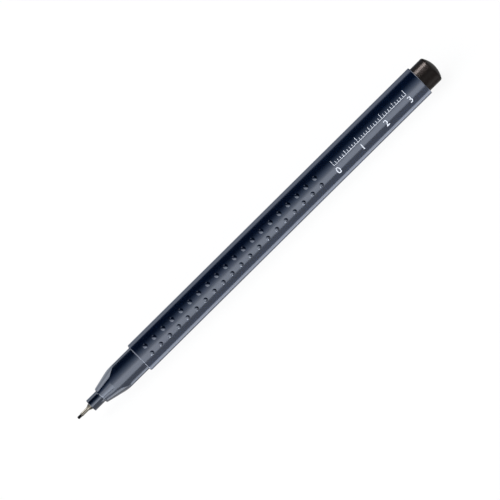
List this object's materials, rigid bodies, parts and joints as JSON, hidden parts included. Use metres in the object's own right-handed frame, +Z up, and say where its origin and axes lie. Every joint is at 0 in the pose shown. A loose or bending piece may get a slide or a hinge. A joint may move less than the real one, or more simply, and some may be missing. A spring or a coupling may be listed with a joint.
{
  "type": "fineliner pen",
  "caption": "Slim triangular fineliner pen without its cap: crowned barrel faces with raised grip dots, coned front section, metal-framed fibre nib and round domed end plug.",
  "frame": {"origin": "on the table under the middle of the pen, which lies on the grip dots of one face", "axes": "+X along the pen's axis towards the end plug, with the nib at -X; +Z up, through the barrel's top edge; +Y across"},
  "size_m": [0.15, 0.0102, 0.0105],
  "materials": {
    "navy_plastic": "moulded polypropylene, satin gloss",
    "black_plastic": "moulded polypropylene, gloss",
    "tip_metal": "drawn nickel silver tube, satin",
    "nib_fibre": "bonded fibre soaked with black ink",
    "reservoir_fibre": "polyester fibre bundle soaked with ink",
    "clear_film": "thin polymer film"
  },
  "bodies": {
    "root": {"barrel": "navy_plastic", "front_section": "navy_plastic", "nib_holder": "navy_plastic", "tip_sleeve": "tip_metal", "fibre_nib": "nib_fibre", "ink_reservoir": "reservoir_fibre", "reservoir_film": "clear_film", "end_plug": "black_plastic"}
  },
  "joints": []
}
